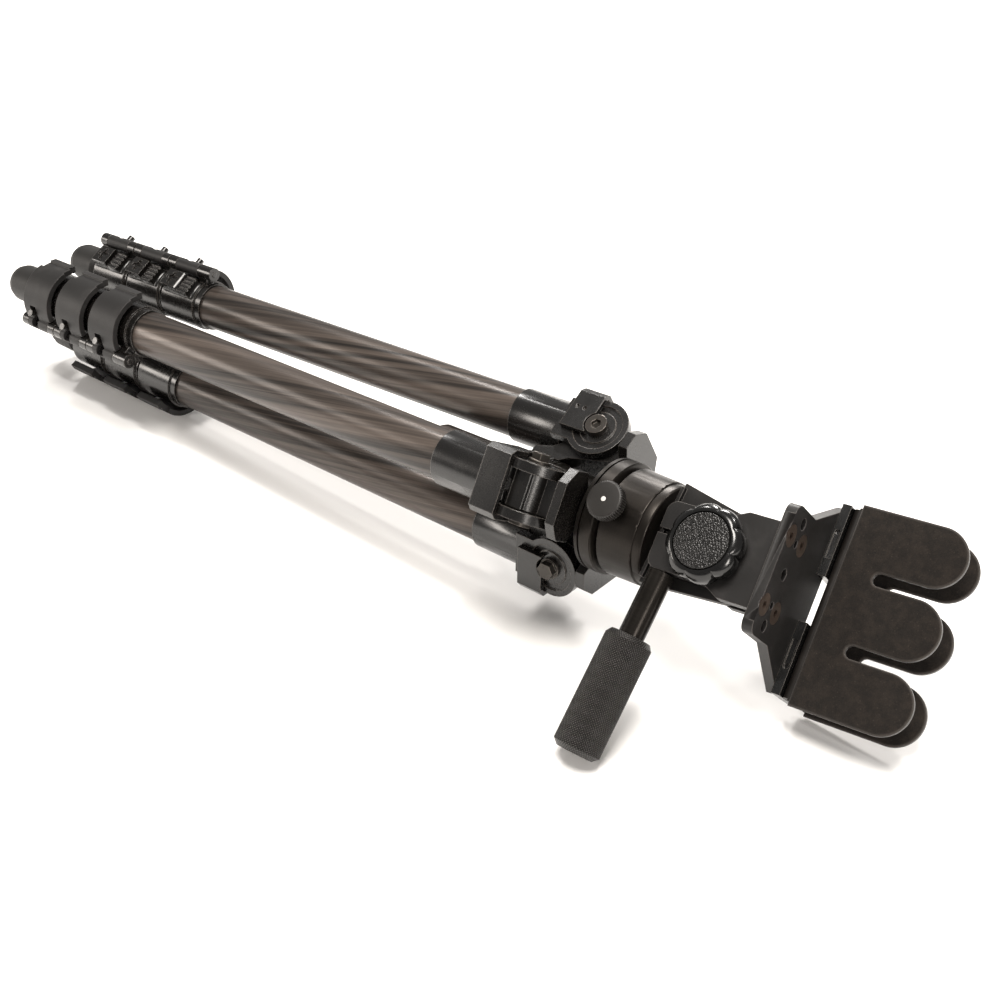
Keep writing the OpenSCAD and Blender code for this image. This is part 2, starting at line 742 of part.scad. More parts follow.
for (k = [0 : 2]) {
    name = str("leg_", ["a", "b", "c"][k]);
    turn = LEGS[k];
    on_leg(turn) leg_yoke();
    on_leg(turn) leg_catch();
    on_leg(turn) leg_foot();
    for (i = [0 : 3])
        on_leg(turn) leg_tube(i);
    for (i = [0 : 2]) {
        on_leg(turn) leg_clamp(i);
        on_leg(turn) leg_lever(i);
    }
}
spider();
pivot_bolts();
column_tube();
column_collar();
column_platform();
pan_base();
pan_body();
pan_lock_knob();
tilt_tongue();
tilt_axle();
tilt_arm_near();
tilt_arm_far();
tilt_knob();
tilt_knob_pad();
handle_rod();
handle_grip();
rest_plate();
rest_screws();
cradle_blocks();
cradle();
cradle_felt();
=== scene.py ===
"""Looks of a folded carbon tripod that carries a pan and tilt head and a felt-lined cradle."""

import json
import logging
import math
from dataclasses import dataclass
from enum import Enum
from typing import Any, Sequence, Union

import bmesh
import bpy
import numpy as np
from mathutils import Matrix, Vector

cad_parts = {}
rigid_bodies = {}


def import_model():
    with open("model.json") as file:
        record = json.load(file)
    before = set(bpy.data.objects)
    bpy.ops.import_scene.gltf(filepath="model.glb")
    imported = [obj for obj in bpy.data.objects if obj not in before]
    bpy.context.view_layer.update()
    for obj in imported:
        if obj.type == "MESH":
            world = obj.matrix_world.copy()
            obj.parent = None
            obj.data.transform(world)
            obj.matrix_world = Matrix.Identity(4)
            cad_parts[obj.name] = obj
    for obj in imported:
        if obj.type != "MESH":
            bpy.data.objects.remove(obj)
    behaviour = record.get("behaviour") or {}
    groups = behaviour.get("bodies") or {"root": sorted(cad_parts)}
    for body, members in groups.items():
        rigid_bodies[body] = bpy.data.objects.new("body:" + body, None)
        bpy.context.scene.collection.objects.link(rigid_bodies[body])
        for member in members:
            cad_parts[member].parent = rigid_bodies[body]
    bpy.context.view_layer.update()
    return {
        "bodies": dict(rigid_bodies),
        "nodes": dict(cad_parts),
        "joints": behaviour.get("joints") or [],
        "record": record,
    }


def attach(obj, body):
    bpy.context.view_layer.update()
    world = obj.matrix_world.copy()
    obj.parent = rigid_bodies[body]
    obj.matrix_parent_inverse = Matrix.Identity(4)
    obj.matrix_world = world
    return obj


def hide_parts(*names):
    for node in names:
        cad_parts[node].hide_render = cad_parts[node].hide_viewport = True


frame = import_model()
MM = 0.001
MERGE_DISTANCE = 2e-6
FLAT_ANGLE = math.radians(1.0)
COPY_SHARP_ANGLE = math.radians(32)
GRID_SHARP_ANGLE = math.radians(38)

log = logging.getLogger("tripod")


# ---------------------------------------------------------------- frames of the tripod


@dataclass(frozen=True)
class Lie:
    """How the folded tripod lies on the ground, as its CAD model has it.

    The tripod's own frame has its origin on the axis, level with the leg pivots, and X towards the head.
    """

    pitch: float = 2.71
    roll: float = -1.44
    shift: tuple[float, float, float] = (128.9, 9.17, 75.26)

    def matrix(self) -> Matrix:
        """Returns the turn and shift from the tripod's frame to the ground's, in millimetres."""
        turn = Matrix.Rotation(math.radians(-self.pitch), 4, "Y")
        roll = Matrix.Rotation(math.radians(self.roll), 4, "X")
        return Matrix.Translation(self.shift) @ turn @ roll


class Leg(Enum):
    """The three legs, each with its turn about the tripod's axis in degrees."""

    A = 60
    B = -60
    C = 180

    @property
    def prefix(self) -> str:
        """Returns the start of the names of this leg's nodes."""
        return f"leg_{self.name.lower()}_"


@dataclass(frozen=True)
class Frames:
    """Frames of the tripod's sub-assemblies, each a matrix to the ground's frame in millimetres."""

    lie: Lie = Lie()
    leg_length: float = 474.0
    pivot_radius: float = 39.0
    foot_radius: float = 29.6
    pan_turn: float = 45.0
    axle_station: float = 102.0
    tilt_turn: float = 4.5

    @property
    def lean(self) -> float:
        """Returns the angle in radians at which a folded leg leans towards the axis."""
        return math.asin((self.pivot_radius - self.foot_radius) / self.leg_length)

    def leg(self, leg: Leg) -> Matrix:
        """Returns the frame of a leg: its tube runs along -X and +Z points outwards.

        Args:
            leg: which leg.

        Returns:
            The leg's frame.
        """
        turn = Matrix.Rotation(math.radians(leg.value), 4, "X")
        out = Matrix.Translation((0, 0, self.pivot_radius))
        return self.lie.matrix() @ turn @ out @ Matrix.Rotation(-self.lean, 4, "Y")

    def head(self) -> Matrix:
        """Returns the head's frame: Z runs along the tilt axle."""
        return self.lie.matrix() @ Matrix.Rotation(math.radians(self.pan_turn), 4, "X")

    def tilt(self) -> Matrix:
        """Returns the frame of everything that tilts, with its origin on the axle."""
        out = Matrix.Translation((self.axle_station, 0, 0))
        return self.head() @ out @ Matrix.Rotation(math.radians(self.tilt_turn), 4, "Z")


@dataclass
class Studio:
    """The floor, the lights and the camera."""

    frames: Frames
    eye: tuple[float, float, float] = (434.9, -570.1, 425.0)
    look: tuple[float, float, float] = (-0.557, 0.655, -0.512)
    up: tuple[float, float, float] = (-0.322, 0.398, 0.859)
    lens: float = 53.91

    def camera(self) -> None:
        """Places the camera, whose eye and turn are given in the tripod's frame."""
        lie = self.frames.lie.matrix()
        look = Vector(self.look).normalized()
        side = look.cross(Vector(self.up)).normalized()
        up = side.cross(look)
        turn = Matrix((side, up, -look)).transposed().to_4x4()
        world = lie @ Matrix.Translation(self.eye) @ turn
        world.translation *= MM
        data = bpy.data.cameras.new("camera")
        data.sensor_width = 36.0
        data.lens = self.lens
        data.clip_start = 0.01
        data.clip_end = 20
        camera = bpy.data.objects.new("camera", data)
        camera.matrix_world = world
        bpy.context.collection.objects.link(camera)
        bpy.context.scene.camera = camera

    def lights(self) -> None:
        """Hangs the round soft boxes and sets the pale surroundings.

        Each box has a name, a place, a target, a size, a power and a tint.
        """
        boxes = (
            ("key", (0.25, -0.35, 1.9), (0.0, 0.0, 0.0), 0.9, 52.0, (1.0, 0.955, 0.90)),
            ("back", (-0.5, 1.5, 1.1), (0.0, 0.0, 0.05), 0.55, 30.0, (1.0, 0.965, 0.93)),
            ("side", (1.5, -0.9, 0.8), (0.1, 0.0, 0.05), 0.5, 13.0, (1.0, 0.94, 0.88)),
            ("low", (-1.3, -0.9, 0.5), (-0.2, 0.0, 0.05), 0.5, 8.0, (1.0, 0.93, 0.86)),
            ("glint", (-0.8, 0.5, 1.2), (0.1, 0.0, 0.08), 0.16, 7.0, (1.0, 0.97, 0.94)),
            ("spark", (0.5, 0.9, 1.3), (0.1, 0.0, 0.08), 0.16, 6.0, (1.0, 0.97, 0.94)),
        )
        for name, place, target, size, power, tint in boxes:
            data = bpy.data.lights.new(name, "AREA")
            data.shape = "DISK"
            data.size = size
            data.energy = power
            data.color = tint
            lamp = bpy.data.objects.new(name, data)
            aim = Vector(target) - Vector(place)
            turn = aim.to_track_quat("-Z", "Y").to_matrix().to_4x4()
            lamp.matrix_world = Matrix.Translation(place) @ turn
            bpy.context.collection.objects.link(lamp)
        world = bpy.data.worlds.new("studio")
        world.use_nodes = True
        back = world.node_tree.nodes["Background"]
        back.inputs["Color"].default_value = (1.0, 0.975, 0.95, 1.0)
        back.inputs["Strength"].default_value = 0.30
        bpy.context.scene.world = world
        view = bpy.context.scene.view_settings
        view.view_transform = "Standard"

    def floor(self) -> None:
        """Lays a large pale floor under the object."""
        side = np.linspace(-6.0, 6.0, 3)
        x, y = np.meshgrid(side, side, indexing="ij")
        mesh = surface("floor", np.stack([x, y, np.zeros_like(x)], -1), 1.0)
        plain = Shade("studio_floor")
        plain.principled(color=(0.93, 0.925, 0.915), roughness=0.75)
        mesh.data.materials.append(plain.material)


# ---------------------------------------------------------------- shader maths

Number = Union[int, float]


class Sock:
    """An output of a shader node whose numbers can be used in Python expressions."""

    def __init__(self, shade: "Shade", socket: bpy.types.NodeSocket) -> None:
        """Keeps the socket and the shader that it belongs to."""
        self.shade = shade
        self.socket = socket

    def _math(self, kind: str, *values: Union["Sock", Number], clamp: bool = False) -> "Sock":
        """Returns the result of one Math node of a kind on some values."""
        settings = {"operation": kind, "use_clamp": clamp}
        made = self.shade.node("ShaderNodeMath", settings, dict(enumerate(values)))
        return Sock(self.shade, made.outputs[0])

    def __add__(self, other: Union["Sock", Number]) -> "Sock":
        """Returns the sum."""
        return self._math("ADD", self, other)

    def __radd__(self, other: Number) -> "Sock":
        """Returns the sum, reflected."""
        return self._math("ADD", other, self)

    def __sub__(self, other: Union["Sock", Number]) -> "Sock":
        """Returns the difference."""
        return self._math("SUBTRACT", self, other)

    def __rsub__(self, other: Number) -> "Sock":
        """Returns the difference, reflected."""
        return self._math("SUBTRACT", other, self)

    def __mul__(self, other: Union["Sock", Number]) -> "Sock":
        """Returns the product."""
        return self._math("MULTIPLY", self, other)

    def sine(self) -> "Sock":
        """Returns the sine."""
        return self._math("SINE", self)

    def cosine(self) -> "Sock":
        """Returns the cosine."""
        return self._math("COSINE", self)

    def magnitude(self) -> "Sock":
        """Returns the value without its sign."""
        return self._math("ABSOLUTE", self)

    def angle(self, other: "Sock") -> "Sock":
        """Returns the angle whose sine goes with this value and whose cosine goes with another."""
        return self._math("ARCTAN2", self, other)

    def clamped(self) -> "Sock":
        """Returns the value held between 0 and 1."""
        return self._math("ADD", self, 0.0, clamp=True)

    def step(self, low: float, high: float) -> "Sock":
        """Returns 0 below low and 1 above high, with a smooth rise between.

        Args:
            low: value where the rise starts.
            high: value where it ends.

        Returns:
            The mask.
        """
        made = self.shade.node(
            "ShaderNodeMapRange",
            {"interpolation_type": "SMOOTHSTEP"},
            {"Value": self, "From Min": low, "From Max": high},
        )
        return Sock(self.shade, made.outputs["Result"])


Link = Union[Sock, Number, Sequence[float], bpy.types.NodeSocket]


class Shade:
    """A material and the means to add nodes to it."""

    def __init__(self, name: str) -> None:
        """Makes an empty node material called name."""
        self.material = bpy.data.materials.new(name)
        self.material.use_nodes = True
        self.tree = self.material.node_tree
        self.shader = self.tree.nodes["Principled BSDF"]

    def node(self, kind: str, settings: dict[str, Any], values: dict[Any, Link]) -> bpy.types.Node:
        """Adds a node.

        Args:
            kind: the node's type.
            settings: attributes of the node, set before its sockets; "stops" are a colour ramp's.
            values: a value or a link for each named or numbered input.

        Returns:
            The node.
        """
        made = self.tree.nodes.new(kind)
        for key, value in settings.items():
            if key == "stops":
                ramp = made.color_ramp
                while len(ramp.elements) < len(value):
                    ramp.elements.new(0.5)
                for element, (at, color) in zip(ramp.elements, value):
                    element.position = at
                    element.color = (*color, 1.0)
            else:
                setattr(made, key, value)
        for key, value in values.items():
            self.feed(made.inputs[key], value)
        return made

    def feed(self, socket: bpy.types.NodeSocket, value: Link) -> None:
        """Links an output to an input, or sets the input's own value."""
        if isinstance(value, Sock):
            self.tree.links.new(value.socket, socket)
        elif isinstance(value, bpy.types.NodeSocket):
            self.tree.links.new(value, socket)
        elif isinstance(value, (int, float)):
            socket.default_value = value
        else:
            filled = (*value, 1.0) if len(value) == 3 and socket.type == "RGBA" else tuple(value)
            socket.default_value = filled

    def place(self, frame: Matrix | None = None) -> bpy.types.NodeSocket:
        """Returns object coordinates in millimetres, seen from a frame.

        Args:
            frame: the frame, in millimetres, or None for the ground's.

        Returns:
            The coordinates' socket.
        """
        point = self.node("ShaderNodeTexCoord", {}, {}).outputs["Object"]
        back = (frame or Matrix.Identity(4)).inverted()
        turned = self.node(
            "ShaderNodeMapping",
            {"vector_type": "POINT"},
            {
                "Vector": point,
                "Location": tuple(back.translation),
                "Rotation": tuple(back.to_euler()),
                "Scale": (1 / MM, 1 / MM, 1 / MM),
            },
        )
        return turned.outputs[0]

    def noise(self, at: Link, scale: float, detail: float = 2.0, rough: float = 0.5) -> Sock:
        """Returns a noise value between about 0 and 1 at a place."""
        made = self.node(
            "ShaderNodeTexNoise", {}, {"Vector": at, "Scale": scale, "Detail": detail, "Roughness": rough}
        )
        return Sock(self, made.outputs[0])

    def cells(self, at: Link, scale: float, feature: str = "F1") -> Sock:
        """Returns the distance to the nearest of scattered points."""
        made = self.node("ShaderNodeTexVoronoi", {"feature": feature}, {"Vector": at, "Scale": scale})
        return Sock(self, made.outputs["Distance"])

    def parts(self, at: bpy.types.NodeSocket) -> tuple[Sock, Sock, Sock]:
        """Returns the X, Y and Z of a place."""
        made = self.node("ShaderNodeSeparateXYZ", {}, {0: at})
        return Sock(self, made.outputs[0]), Sock(self, made.outputs[1]), Sock(self, made.outputs[2])

    def joined(self, x: Link, y: Link, z: Link) -> bpy.types.NodeSocket:
        """Returns a place from its X, Y and Z."""
        return self.node("ShaderNodeCombineXYZ", {}, {0: x, 1: y, 2: z}).outputs[0]

    def blend(self, mask: Sock, low: Link, high: Link) -> bpy.types.NodeSocket:
        """Returns a colour between two others by a mask."""
        made = self.node("ShaderNodeMix", {"data_type": "RGBA"}, {0: mask, 6: low, 7: high})
        return made.outputs[2]

    def bump(
        self, height: Sock, distance: float, strength: float = 1.0, base: Link | None = None
    ) -> bpy.types.NodeSocket:
        """Returns a normal bent by a height, whose unit is a distance in millimetres.

        Args:
            height: the height.
            distance: size of one unit of the height.
            strength: strength of the bend.
            base: the normal that is bent, or None for the surface's own.

        Returns:
            The bent normal's socket.
        """
        values = {"Height": height, "Distance": distance * MM, "Strength": strength}
        if base is not None:
            values["Normal"] = base
        return self.node("ShaderNodeBump", {}, values).outputs[0]

    def rounded(self, radius: float) -> tuple[bpy.types.NodeSocket, Sock]:
        """Rounds the edges of a surface.

        Args:
            radius: radius of the rounding in millimetres.

        Returns:
            The rounded normal, and a mask that is 1 on the edges.
        """
        soft = self.node("ShaderNodeBevel", {"samples": 6}, {"Radius": radius * MM}).outputs[0]
        flat = self.node("ShaderNodeNewGeometry", {}, {}).outputs["Normal"]
        same = self.node("ShaderNodeVectorMath", {"operation": "DOT_PRODUCT"}, {0: soft, 1: flat})
        return soft, 1.0 - Sock(self, same.outputs["Value"]).step(0.78, 0.985)

    def principled(
        self,
        color: Link,
        roughness: Link,
        metallic: float = 0.0,
        normal: Link | None = None,
        coat: float = 0.0,
        coat_rough: float = 0.1,
        specular: float = 0.5,
        sheen: float = 0.0,
    ) -> None:
        """Sets the surface shader.

        Args:
            color: base colour or a link to one.
            roughness: roughness or a link to one.
            metallic: 1 for bare metal.
            normal: a link to a bent normal.
            coat: weight of the clear coat.
            coat_rough: roughness of the coat.
            specular: level of the dielectric reflection.
            sheen: weight of the fibres' sheen.
        """
        inputs = self.shader.inputs
        self.feed(inputs["Base Color"], color)
        self.feed(inputs["Roughness"], roughness)
        inputs["Metallic"].default_value = metallic
        inputs["Coat Weight"].default_value = coat
        inputs["Coat Roughness"].default_value = coat_rough
        inputs["Specular IOR Level"].default_value = specular
        if sheen:
            inputs["Sheen Weight"].default_value = sheen
            inputs["Sheen Roughness"].default_value = 0.6
        if normal is not None:
            self.feed(inputs["Normal"], normal)


# ---------------------------------------------------------------- finishes


@dataclass(frozen=True)
class Carbon:
    """Carbon tube: rolled tape in helical bands under a thin clear coat."""

    twist: float = 0.0115
    light: tuple[float, float, float] = (0.100, 0.080, 0.068)
    dark: tuple[float, float, float] = (0.0075, 0.0064, 0.0056)

    def material(self, name: str, frame: Matrix, seed: float) -> bpy.types.Material:
        """Makes the material of one tube.

        The pattern is noise that is long along a screw line: each cross-section is the
        one before it, turned about the tube's axis.

        Args:
            name: the material's name.
            frame: the tube's frame, whose X is its axis.
            seed: offset that makes each leg's tape differ.

        Returns:
            The material.
        """
        shade = Shade(name)
        x, y, z = shade.parts(shade.place(frame))
        turn = x * self.twist
        across = y * turn.cosine() - z * turn.sine()
        up = y * turn.sine() + z * turn.cosine()
        bands = shade.noise(shade.joined(x * 0.0016 + seed, across * 0.11, up * 0.11), 1.0, 1.0, 0.5)
        tapes = shade.noise(shade.joined(x * 0.0022 + seed, across * 0.34, up * 0.34), 1.0, 2.0, 0.55)
        fibres = shade.noise(shade.joined(x * 0.006 + seed, across * 1.3, up * 1.3), 1.0, 3.0, 0.65)
        scuff = shade.noise(shade.joined(x * 0.05 + seed, across * 0.5, up * 0.5), 1.0, 3.0, 0.6)
        tone = bands.step(0.43, 0.57) * 0.40 + tapes.step(0.40, 0.60) * 0.34
        tone = tone + fibres.step(0.30, 0.72) * 0.26
        color = shade.blend((tone * (scuff * 0.5 + 0.75)).clamped(), self.dark, self.light)
        rough = 0.42 - tapes * 0.16
        normal = shade.bump(fibres + tapes * 0.8, 0.06, 0.4)
        shade.principled(color, rough, 0.25, normal, coat=0.1, coat_rough=0.22, specular=0.3)
        return shade.material


@dataclass(frozen=True)
class Coated:
    """A coated or moulded surface with a fine grain, soft blotches, high spots lightened by wear, and a
    painted highlight along its rounded edges.
    """

    color: tuple[float, float, float]
    roughness: float
    grain: float = 0.9
    depth: float = 0.03
    metallic: float = 0.0
    coat: float = 0.0
    blotch: float = 0.25
    dust: tuple[float, float, float] = (0.10, 0.092, 0.085)
    specular: float = 0.5
    rounding: float = 0.0
    # Colour added along the rounded edges: a painted highlight, broken into patches like wear.
    rub: tuple[float, float, float] = (0.15, 0.132, 0.117)

    def material(self, name: str) -> bpy.types.Material:
        """Makes the material.

        Args:
            name: the material's name.

        Returns:
            The material.
        """
        shade = Shade(name)
        at = shade.place()
        grain = shade.noise(at, self.grain, 3.0, 0.6)
        blotches = shade.noise(at, 0.06, 3.0, 0.55)
        stains = blotches.step(0.50, 0.78) * self.blotch
        wear = (stains + grain.step(0.55, 0.8) * self.blotch * 0.35).clamped()
        color = shade.blend(wear, self.color, self.dust)
        rough = (grain * 0.12 + blotches * 0.14 + (self.roughness - 0.13)).clamped()
        soft = None
        # Painted highlight: the edges that the bevel normal finds are lightened, in patches broken by grain
        # like wear.
        if self.rounding:
            soft, rim = shade.rounded(self.rounding)
            lightened = tuple(value + lift for value, lift in zip(self.color, self.rub))
            color = shade.blend((rim * (grain * 0.8 + 0.35)).clamped(), color, lightened)
        normal = shade.bump(grain, self.depth, 0.5, soft)
        shade.principled(
            color, rough, self.metallic, normal, coat=self.coat, coat_rough=0.18, specular=self.specular
        )
        return shade.material


@dataclass(frozen=True)
class Turned:
    """Anodised metal with the fine rings that turning leaves about an axis."""

    color: tuple[float, float, float] = (0.012, 0.0105, 0.009)
    roughness: float = 0.36
    ring: float = 3.0

    def material(self, name: str, frame: Matrix) -> bpy.types.Material:
        """Makes the material.

        Args:
            name: the material's name.
            frame: a frame whose X is the axis of turning.

        Returns:
            The material.
        """
        shade = Shade(name)
        x, y, z = shade.parts(shade.place(frame))
        rings = shade.noise(shade.joined(x * self.ring, 0.0, 0.0), 1.0, 2.0, 0.6)
        grain = shade.noise(shade.place(), 1.6, 2.0, 0.6)
        haze = shade.noise(shade.place(), 0.05, 2.0, 0.5)
        lighter = tuple(value * 1.9 for value in self.color)
        color = shade.blend((rings * 0.5 + haze * 0.5).step(0.35, 0.75), self.color, lighter)
        rough = (rings * 0.10 + haze * 0.14 + (self.roughness - 0.12)).clamped()
        normal = shade.bump(rings + grain * 0.5, 0.02, 0.5)
        shade.principled(color, rough, 0.7, normal, specular=0.3)
        return shade.material


@dataclass(frozen=True)
class Knurled:
    """Black metal with a diamond knurl whose crests are lighter in patches."""

    ridges: int
    radius: float

    def material(self, name: str, frame: Matrix) -> bpy.types.Material:
        """Makes the material.

        The knurl is |sin(n a + n z / R) sin(n a - n z / R)|, for angle a and height z.

        Args:
            name: the material's name.
            frame: a frame whose Z is the axis of the knurl.

        Returns:
            The material.
        """
        shade = Shade(name)
        x, y, z = shade.parts(shade.place(frame))
        angle = y.angle(x) * self.ridges
        along = z * (self.ridges / self.radius)
        crest = ((angle + along).sine() * (angle - along).sine()).magnitude()
        grain = shade.noise(shade.place(), 1.8, 2.0, 0.6)
        haze = shade.noise(shade.place(), 0.07, 2.0, 0.5)
        lightened = (crest.step(0.45, 0.95) * (grain * 0.9 + haze * 0.8)).clamped()
        color = shade.blend(lightened, (0.0035, 0.0032, 0.003), (0.060, 0.054, 0.049))
        normal = shade.bump(crest + grain * 0.2, 0.22, 0.8)
        shade.principled(color, 0.44 - lightened * 0.14, 0.3, normal, specular=0.4)
        return shade.material


@dataclass(frozen=True)
class Pebbled:
    """Glossy moulded pebbles that catch the light, with a painted highlight on each pebble's top."""

    def material(self, name: str) -> bpy.types.Material:
        """Makes the material called name."""
        shade = Shade(name)
        at = shade.place()
        pebbles = shade.cells(at, 0.62, "SMOOTH_F1")
        grain = shade.noise(at, 0.9, 3.0, 0.65)
        # Painted highlight and shade: each pebble's top is lighter and the hollows between are darker; the
        # grain adds the moulding's own random tone.
        tone = (1.0 - pebbles.step(0.25, 0.75)) * 0.6 + grain * 0.35
        color = shade.blend(tone.clamped(), (0.0025, 0.0024, 0.0023), (0.012, 0.0115, 0.011))
        normal = shade.bump(grain * 1.3 - pebbles, 0.15, 0.6)
        shade.principled(color, 0.20 + grain * 0.1, 0.0, normal, coat=0.0, coat_rough=0.15, specular=0.35)
        return shade.material


@dataclass(frozen=True)
class Flock:
    """Dark brown flock on padding, mottled, with a painted sheen on the rims where fibres would catch the
    light.
    """

    dark: tuple[float, float, float] = (0.0038, 0.0028, 0.0021)
    light: tuple[float, float, float] = (0.0175, 0.0128, 0.0096)
    # Colour of the painted sheen on the rims.
    rim: tuple[float, float, float] = (0.050, 0.043, 0.038)

    def material(self, name: str, frame: Matrix, mid: float, half: float) -> bpy.types.Material:
        """Makes the material of one padded plate.

        Args:
            name: the material's name.
            frame: a frame whose Z stands on the plate.
            mid: height of the middle of the plate.
            half: half of its thickness.

        Returns:
            The material.
        """
        shade = Shade(name)
        at = shade.place()
        height = shade.parts(shade.place(frame))[2] - mid
        # Mask that is 1 on the rims, between the flat faces, which carry the painted sheen.
        side = 1.0 - (height * height).step((half * 0.55) ** 2, (half * 0.98) ** 2)
        fibre = shade.noise(at, 1.7, 4.0, 0.72)
        mottle = shade.noise(at, 0.16, 4.0, 0.62)
        lint = shade.cells(at, 0.45).step(0.0, 0.20)
        tone = (fibre.step(0.34, 0.74) * 0.60 + mottle.step(0.38, 0.66) * 0.42).clamped()
        base = shade.blend(tone, self.dark, self.light)
        lightened = shade.blend((1.0 - lint) * fibre * 0.35, base, (0.11, 0.09, 0.07))
        # Painted sheen: the rims are lightened towards the sheen colour.
        color = shade.blend((side * (fibre + 0.25)).clamped(), lightened, self.rim)
        normal = shade.bump(fibre + mottle * 0.5, 0.35, 0.8)
        shade.principled(color, 0.95, 0.0, normal, specular=0.12, sheen=0.10)
        return shade.material


# ---------------------------------------------------------------- surfaces


def surface(name: str, grid: np.ndarray, scale: float = MM, wrap: bool = False) -> bpy.types.Object:
    """Makes a mesh of the quads between the points of a grid.

    Quad (i, j) joins points (i, j), (i+1, j), (i+1, j+1) and (i, j+1).

    Args:
        name: the object's name.
        grid: points of shape (rows, columns, 3).
        scale: size in metres of one unit of the grid.
        wrap: whether the last row joins the first.

    Returns:
        The object, linked to the scene.
    """
    rows, columns = grid.shape[:2]
    index = np.arange(rows * columns).reshape(rows, columns)
    low = index if wrap else index[:-1]
    high = np.roll(index, -1, axis=0) if wrap else index[1:]
    quads = np.stack([low[:, :-1], high[:, :-1], high[:, 1:], low[:, 1:]], -1).reshape(-1, 4)
    return mesh_of(name, grid.reshape(-1, 3) * scale, quads)


def mesh_of(name: str, points: np.ndarray, quads: np.ndarray) -> bpy.types.Object:
    """Makes a smooth object from points and quads.

    Args:
        name: the object's name.
        points: places in metres, some of which may coincide.
        quads: four point numbers for each face.

    Returns:
        The object, linked to the scene, with coincident points merged.
    """
    mesh = bpy.data.meshes.new(name)
    mesh.vertices.add(len(points))
    mesh.vertices.foreach_set("co", points.astype(np.float32).ravel())
    mesh.loops.add(quads.size)
    mesh.loops.foreach_set("vertex_index", quads.astype(np.int32).ravel())
    mesh.polygons.add(len(quads))
    mesh.polygons.foreach_set("loop_start", np.arange(0, quads.size, 4, dtype=np.int32))
    mesh.update(calc_edges=True)
    mesh.validate()
    mend(mesh)
    smooth(mesh, GRID_SHARP_ANGLE)
    return shown(name, mesh)


def mend(mesh: bpy.types.Mesh, merge_flat: bool = False) -> None:
    """Merges coincident points and turns the faces outwards.

    Args:
        mesh: the mesh, which is changed.
        merge_flat: whether neighbouring faces in one plane are joined too.
    """
    work = bmesh.new()
    work.from_mesh(mesh)
    bmesh.ops.remove_doubles(work, verts=work.verts, dist=MERGE_DISTANCE)
    if merge_flat:
        bmesh.ops.dissolve_limit(
            work, angle_limit=FLAT_ANGLE, verts=work.verts, edges=work.edges, use_dissolve_boundaries=False
        )
    bmesh.ops.recalc_face_normals(work, faces=work.faces)
    work.to_mesh(mesh)
    work.free()


def smooth(mesh: bpy.types.Mesh, sharp_angle: float | None = None) -> None:
    """Shades a mesh smooth, except across edges sharper than an angle in radians."""
    mesh.polygons.foreach_set("use_smooth", np.full(len(mesh.polygons), True))
    if sharp_angle is not None:
        mesh.set_sharp_from_angle(angle=sharp_angle)


def shown(name: str, mesh: bpy.types.Mesh) -> bpy.types.Object:
    """Returns a new object of a mesh, linked to the scene."""
    made = bpy.data.objects.new(name, mesh)
    bpy.context.collection.objects.link(made)
    return made


def moved(grid: np.ndarray, frame: Matrix) -> np.ndarray:
    """Returns a grid of points carried from a frame, in millimetres, to the ground's."""
    turn = np.array(frame)
    return grid @ turn[:3, :3].T + turn[:3, 3]


def polar(grid: np.ndarray) -> tuple[np.ndarray, np.ndarray]:
    """Returns the angle about Z and the distance from Z of each point of a grid."""
    return np.arctan2(grid[..., 1], grid[..., 0]), np.hypot(grid[..., 0], grid[..., 1])


def revolved(profile: Sequence[tuple[float, float]], turns: int = 96) -> np.ndarray:
    """Returns the grid of a profile turned about Z.

    A point at angle a is (r cos a, r sin a, z) for each (r, z) of the profile.

    Args:
        profile: radius and height of each point, from one end to the other.
        turns: how many steps go round.

    Returns:
        Points of shape (turns, len(profile), 3), whose rows wrap.
    """
    r, z = np.array(profile, float).T
    a = np.linspace(0, 2 * math.pi, turns, endpoint=False)[:, None]
    return np.stack([r * np.cos(a), r * np.sin(a), np.broadcast_to(z, (turns, len(z)))], -1)


def softened(node: str) -> bpy.types.Object:
    """Copies a CAD node with its triangles merged into whole faces, so that flat faces shade flat.

    Args:
        node: the CAD node's name.

    Returns:
        The copy, which stands for the node.
    """
    mesh = frame["nodes"][node].data.copy()
    mesh.name = node + "_worked"
    mend(mesh, merge_flat=True)
    mesh.materials.clear()
    smooth(mesh, COPY_SHARP_ANGLE)
    made = shown(node + "_worked", mesh)
    weigh = made.modifiers.new("flat_faces", "WEIGHTED_NORMAL")
    weigh.keep_sharp = True
    weigh.weight = 80
    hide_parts(node)
    return made


def ride(made: bpy.types.Object, body: str, slot: str, *dress: bpy.types.Material) -> bpy.types.Object:
    """Gives a piece its body and its materials.

    Args:
        made: the piece.
        body: the body that it moves with.
        slot: the record's material slot; not used.
        dress: the piece's materials.

    Returns:
        The piece.
    """
    for material in dress:
        made.data.materials.append(material)
    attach(made, body)
    log.info("%s rides on %s", made.name, body)
    return made


# ---------------------------------------------------------------- sub-assemblies


